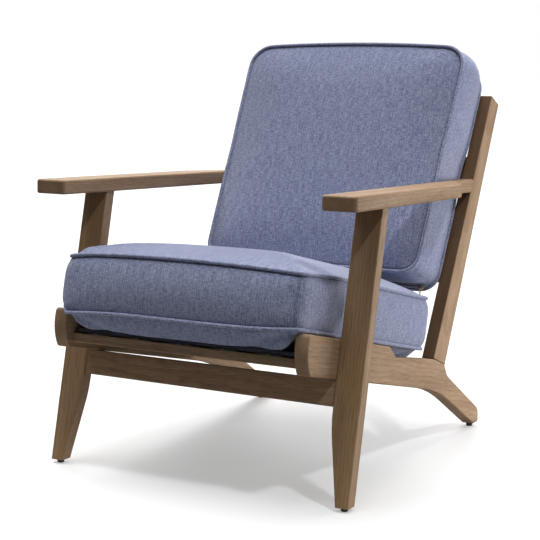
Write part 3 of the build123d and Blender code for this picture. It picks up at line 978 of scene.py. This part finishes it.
def ramp(value, start, end):
    """Share of the way from the start to the end, kept between 0 and 1."""
    return max(0, min(1, (value - start) / (end - start)))


def zip_points(place, half, run, height):
    """Points along a zip and beside it, where the cover is held."""
    return [
        place @ Vector((x, run, height + step))
        for x in range(-half, half + 1, 4)
        for step in (-8, 0, 8)
    ]


def settle_seat(point):
    """Move a point of the plain seat form as the used cushion lies."""
    x, y, z = point
    from_front = y + seat_half_length
    front = max(0, 1 - from_front / 130) ** 2
    nose = max(0, 1 - from_front / 60) ** 2
    side = x / seat_half_width
    middle = 1 - side**4
    left = max(0, -side - 0.35) / 0.65
    high = ramp(z, seat_low, seat_high)
    drop = front * ((1 - high) * 8 * middle + high * (7.5 * side**2 - 1 + 5 * left**6))
    drop += nose * (1 - high) * 15 * left**2
    # in front of the deck the belly hangs lower and further out
    drop += nose * ramp(z, seat_low, -28) * 20 * (1 - side**8)
    x += 5 * left**6 * front * (2 * high - 1) ** 4
    y -= 6 * front + 13 * nose * ramp(z, seat_low, -2)
    # the zip draws the rear of the band in
    rear = ramp(y, 220, 260) * ramp(abs(x), 268, 248)
    y -= rear * 9 * exp(-(((z - seat_zip_height) / 16) ** 2))
    z -= drop
    # on the planks, the lower welt stays on top of them
    if abs(x) > plank_inside and from_front < 350:
        z = max(z, 3.6)
    return Vector((x, y, z))


form, seams, corner_points = box_form(
    seat_half_width,
    seat_half_length,
    corners=(18, 32),
    low=seat_low,
    high=seat_high,
    swells=(8, 10, 0),
    power=6,
    low_rings=((0.962, -5), (0.99, -18), (0.968, -12), (0.8, -5)),
    high_rings=((0.975, 8), (0.925, 12.5), (0.83, 10), (0.603, 3.5)),
)
for vertex in form.verts:
    vertex.co = seat_place @ settle_seat(vertex.co)
seat_seams = [[seat_place @ settle_seat(point) for point in line] for line in seams]
seat_cushion = even_mesh(form, "seat_cushion_cover")
seat_edges = [v.co.copy() for line in seat_seams for v in seam_curve("line", line, 0, 24).vertices]
seat_lines = seat_edges + zip_points(
    seat_place, seat_zip_half, seat_zip_run - 2, seat_zip_height
)
seat_tree = nearest_line(seat_lines)
ease_creases(seat_cushion, seat_tree, 12, seat_up)
seat_corners = [seat_place @ settle_seat(point) for point in corner_points]
fill_cover(seat_cushion, nearest_line(seat_lines + seat_corners))
draw_to_seam(seat_cushion, nearest_line(seat_edges), 8 * MM)
flat = seat_place.inverted()
for vertex in seat_cushion.data.vertices:
    point = flat @ vertex.co
    if abs(point.x) < seat_zip_half + 5 and abs(point.z - seat_zip_height) < 13:
        point.y = min(point.y, seat_zip_run - 0.6)
    if abs(point.x) > 256.5 and point.y < 72:
        point.z = max(point.z, 1.2)
    # nobody has sat on the left edge, so it is still plump
    if point.z > 112:
        point.z += 6 * exp(-(((point.x + seat_half_width - 25) / 18) ** 2))
    # the underside rests on the deck and hangs lower in front of it
    point.z = max(point.z, deck_top - 10.6 * ramp(point.y, -240, -247))
    vertex.co = seat_place @ point
ease_creases(seat_cushion, seat_tree, 4)
lay_weave(seat_cushion, seat_place)
corner = seat_half_width - 6
paint_seam_shade(
    seat_cushion,
    seat_tree,
    seat_place,
    [(side * corner, end * seat_half_length) for side in (-1, 1) for end in (-1, 1)],
)
finish_cover(seat_cushion, "seat_cushion", ["seat_cover", "seat_foam"])
seat_cords = [
    [
        seat_place @ settle_seat(point)
        for point in cord_line(line, seat_half_width, seat_half_length, 2, lift)
    ]
    for line, lift in zip(seams, (0, 1.3))
]
sew_welt("seat_lower_welt", seat_cords[0], "seat_cushion", "seat_bottom_welt")
sew_welt("seat_upper_welt", seat_cords[1], "seat_cushion", "seat_top_welt")

# %% [markdown]
# The back cushion leans on the slats, between the arms. It has been pushed about a little: it is
# wider at the top than between the arms, stands a degree out of true, and its top edge bows up.

# %% Back cushion
back_half_width = 260
back_half_length = 258
back_low = 6.5
back_high = 122.5
back_zip_height = 32
back_zip_half = 241
back_zip_run = -257


def settle_back(point):
    """Move a point of the plain back form as the used cushion stands."""
    x, y, z = point
    rise = y / back_half_length
    side = x / back_half_width
    bow = 9 * (1 - side**2) * max(0, rise) ** 3
    wider = 1 + 0.018 * rise
    lean = -4.5 * rise - 1.5
    # the zip draws the lower end of the band in
    low_end = ramp(y, -210, -240) * ramp(abs(x), 258, 238)
    draw = low_end * 6 * exp(-(((z - back_zip_height) / 16) ** 2))
    # the arms pinch the sides
    pinch = 7.5 * side * exp(-(((y - 12) / 44) ** 2)) * (1 - 0.8 * ramp(z, 0, 122))
    return Vector((x * wider + lean - pinch, y + bow + draw, z))


form, seams, corner_points = box_form(
    back_half_width,
    back_half_length,
    corners=(38, 46),
    low=back_low,
    high=back_high,
    swells=(3, 11, 8),
    power=2,
    low_rings=((0.95, -6), (0.9, -5), (0.75, -3)),
    high_rings=((0.97, 3.3), (0.914, 7.4), (0.808, 8.5), (0.603, 2.8)),
)
for vertex in form.verts:
    vertex.co = back_place @ settle_back(vertex.co)
back_seams = [[back_place @ settle_back(point) for point in line] for line in seams]
back_cushion = even_mesh(form, "back_cushion_cover")
back_edges = [v.co.copy() for line in back_seams for v in seam_curve("line", line, 0, 24).vertices]
back_lines = back_edges + zip_points(
    back_place, back_zip_half, back_zip_run + 2.5, back_zip_height
)
back_tree = nearest_line(back_lines)
ease_creases(back_cushion, back_tree, 12, back_out)
back_corners = [back_place @ settle_back(point) for point in corner_points]
fill_cover(back_cushion, nearest_line(back_lines + back_corners))
draw_to_seam(back_cushion, nearest_line(back_edges), 9 * MM)
flat = back_place.inverted()
for vertex in back_cushion.data.vertices:
    point = flat @ vertex.co
    if abs(point.x) < back_zip_half + 5 and abs(point.z - back_zip_height) < 13:
        point.y = max(point.y, back_zip_run + 0.6)
    # between the arms there is just room for the cushion
    if abs(point.y) < 70:
        room = 261.5 + 0.04 * max(0, point.z)
        point.x = max(-room, min(room, point.x))
    point.z = min(max(point.z, -9.4), 152)
    vertex.co = back_place @ point
ease_creases(back_cushion, back_tree, 4)
lay_weave(back_cushion, back_place, band_along=True)
corner = back_half_width - 11
paint_seam_shade(
    back_cushion,
    back_tree,
    back_place,
    [(side * corner, -back_half_length) for side in (-1, 1)],
)
finish_cover(back_cushion, "back_cushion", ["back_cover", "back_foam"])
back_cords = [
    [
        back_place @ settle_back(point)
        for point in cord_line(line, back_half_width, back_half_length, proud, lift)
    ]
    for line, proud, lift in zip(seams, (0.5, 2), (0.5, 1.3))
]
sew_welt("back_rear_cord", back_cords[0], "back_cushion", "back_rear_welt")
sew_welt("back_front_cord", back_cords[1], "back_cushion", "back_front_welt")

# %% [markdown]
# Under the seat cushion lies a thin padded deck in dark felt. It is a box with well rounded
# edges, a little fuller in the middle than at its rim; only its front edge shows, as a dark line
# between the cushion and the front rail.

# %% Padded deck
deck_half_width = 252
deck_middle = -15.5
deck_half_length = 223
deck_low = -44
deck_high = -34
deck_edge = 4
rim_thinning = 0.14

deck = bmesh.new()
bmesh.ops.create_cube(deck, size=1)
deck_size = (2 * deck_half_width, 2 * deck_half_length, deck_high - deck_low)
bmesh.ops.scale(deck, vec=deck_size, verts=deck.verts)
round_edges(deck, deck.edges, deck_edge, 3)
long_edges = [e for e in deck.edges if e.calc_length() > deck_half_length]
bmesh.ops.subdivide_edges(deck, edges=long_edges, cuts=11, use_grid_fill=True)
for vertex in deck.verts:
    rim = max(abs(vertex.co.x) / deck_half_width, abs(vertex.co.y) / deck_half_length)
    vertex.co.z *= 1 - rim_thinning * rim**4
bmesh.ops.translate(deck, vec=(0, deck_middle, (deck_low + deck_high) / 2), verts=deck.verts)
bmesh.ops.transform(deck, matrix=seat_place, verts=deck.verts)
deck_mesh = bpy.data.meshes.new("seat_deck")
deck.to_mesh(deck_mesh)
deck.free()
for face in deck_mesh.polygons:
    face.use_smooth = True
deck_mesh.materials.append(
    speckled("Dark grey wool felt", "#34363F", "#585B66", 2.5, 0.95, stretch=(3, 1, 1))
)
seat_deck = bpy.data.objects.new("seat_deck", deck_mesh)
scene.collection.objects.link(seat_deck)
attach(seat_deck, "frame")
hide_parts("seat_deck_pad")
print("deck of", len(deck_mesh.polygons), "faces")

# %% [markdown]
# Five elastic straps run from the front rail to the rear rail under the deck. Such webbing is
# dark, with two pale stripes woven in and a fine rib across. One strap is a long flat box with
# soft edges, and the other four are copies of it. The ribs are 1.5 mm apart in life and 3 mm here.

# %% Webbing straps
strap_pitch = 98
strap_width = 50
strap_thickness = 2
strap_length = 454
strap_level = -45
strap_edge = 0.7
strap_rib = 3
stripe_place = 13
stripe_half_width = 2.5

webbing_cloth, tree, output = new_material("Elastic jute webbing")
strap_map = add_node(tree, "ShaderNodeUVMap", uv_map="weave")
strap_parts = add_node(tree, "ShaderNodeSeparateXYZ", {0: strap_map.outputs[0]})
from_middle = add_node(
    tree,
    "ShaderNodeMath",
    {0: strap_parts.outputs["X"], 1: strap_pitch / 2 * MM},
    operation="PINGPONG",
)
stripe = add_node(
    tree,
    "ShaderNodeMath",
    {0: from_middle.outputs[0], 1: stripe_place * MM, 2: stripe_half_width * MM},
    operation="COMPARE",
)
ribs = add_node(
    tree,
    "ShaderNodeTexWave",
    {"Vector": strap_map.outputs[0], "Scale": wave_scale(strap_rib * MM), "Distortion": 0.4},
    bands_direction="Y",
)
ribbed = add_node(
    tree,
    "ShaderNodeMix",
    {0: ribs.outputs["Fac"], 6: hex_colour("#1D1A19"), 7: hex_colour("#3A3431")},
    data_type="RGBA",
)
striped = add_node(
    tree,
    "ShaderNodeMix",
    {0: stripe.outputs[0], 6: ribbed.outputs[2], 7: hex_colour("#8C7C66")},
    data_type="RGBA",
)
rib_relief = add_node(
    tree,
    "ShaderNodeBump",
    {"Height": ribs.outputs["Fac"], "Strength": 0.5, "Distance": 0.0006},
)
strap_skin = add_node(
    tree,
    "ShaderNodeBsdfPrincipled",
    {"Base Color": striped.outputs[2], "Roughness": 0.85, "Normal": rib_relief.outputs[0]},
)
tree.links.new(strap_skin.outputs[0], output.inputs["Surface"])

strap = bmesh.new()
bmesh.ops.create_cube(strap, size=1)
bmesh.ops.scale(strap, vec=(strap_width, strap_length, strap_thickness), verts=strap.verts)
round_edges(strap, strap.edges, strap_edge, 2)
bmesh.ops.translate(strap, vec=(-2 * strap_pitch, deck_middle, strap_level), verts=strap.verts)
first_strap = list(strap.verts) + list(strap.edges) + list(strap.faces)
for number in range(1, 5):
    copied = bmesh.ops.duplicate(strap, geom=first_strap)
    copied_points = [v for v in copied["geom"] if isinstance(v, bmesh.types.BMVert)]
    bmesh.ops.translate(strap, vec=(number * strap_pitch, 0, 0), verts=copied_points)
bmesh.ops.transform(strap, matrix=seat_place, verts=strap.verts)
strap_mesh = bpy.data.meshes.new("seat_straps")
strap.to_mesh(strap_mesh)
strap.free()
strap_mesh.materials.append(webbing_cloth)
seat_straps = bpy.data.objects.new("seat_straps", strap_mesh)
scene.collection.objects.link(seat_straps)
lay_weave(seat_straps, seat_place)
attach(seat_straps, "frame")
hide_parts("seat_webbing")
print("straps of", len(strap_mesh.polygons), "faces")

# %% [markdown]
# Each cover closes with a zip in its band, out of sight: at the rear of the seat cushion and
# under the back cushion. A zip is a woven tape with a chain of teeth along its middle, which
# reach over the middle from both sides by turns. The CAD sliders run on these chains.

# %% Zips
tape_width = 22
tape_thickness = 1.2
tooth_pitch = 1.3
tooth_height = 1.6
tooth_width = 0.95
tooth_reach = 3.1
tooth_offset = 0.95
tape_edge = 0.4
tape_cloth = speckled("Woven polyester tape", "#4E5268", "#6C7088", 1.2, 0.9)
tooth_nylon = speckled("Moulded nylon teeth", "#4A4E64", "#676B83", 1, 0.5)


def sew_zip(name, place, half, run, height, out, body, node):
    """Zip tape with its teeth; run is where the tape's back lies, out is the way it faces."""
    chain = bmesh.new()
    bmesh.ops.create_cube(chain, size=1)
    bmesh.ops.scale(chain, vec=(2 * half, tape_thickness, tape_width), verts=chain.verts)
    round_edges(chain, chain.edges, tape_edge, 2)
    tape_middle = run + out * tape_thickness / 2
    bmesh.ops.translate(chain, vec=(0, tape_middle, height), verts=chain.verts)
    tape_faces = len(chain.faces)
    tooth_middle = run + out * (tape_thickness + tooth_height / 2)
    side = 1
    for number in range(int(2 * half / tooth_pitch) - 1):
        x = (number + 1) * tooth_pitch - half
        spot = Matrix.Translation((x, tooth_middle, height + side * tooth_offset))
        size = Matrix.Diagonal((tooth_width, tooth_height, tooth_reach, 1))
        bmesh.ops.create_cube(chain, size=1, matrix=spot @ size)
        side = -side
    chain.faces.ensure_lookup_table()
    for face in chain.faces[tape_faces:]:
        face.material_index = 1
    bmesh.ops.transform(chain, matrix=place, verts=chain.verts)
    mesh = bpy.data.meshes.new(name)
    chain.to_mesh(mesh)
    chain.free()
    mesh.materials.append(tape_cloth)
    mesh.materials.append(tooth_nylon)
    piece = bpy.data.objects.new(name, mesh)
    scene.collection.objects.link(piece)
    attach(piece, body)
    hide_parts(node)
    print(name, "has", number + 1, "teeth")


sew_zip(
    "seat_zip_chain", seat_place, seat_zip_half, seat_zip_run, seat_zip_height, 1,
    "seat_cushion", "seat_zip",
)
sew_zip(
    "back_zip_chain", back_place, back_zip_half, back_zip_run, back_zip_height, -1,
    "back_cushion", "back_zip",
)

# %% [markdown]
# Last, the view layer is brought up to date.

# %% Bring the scene up to date
bpy.context.view_layer.update()
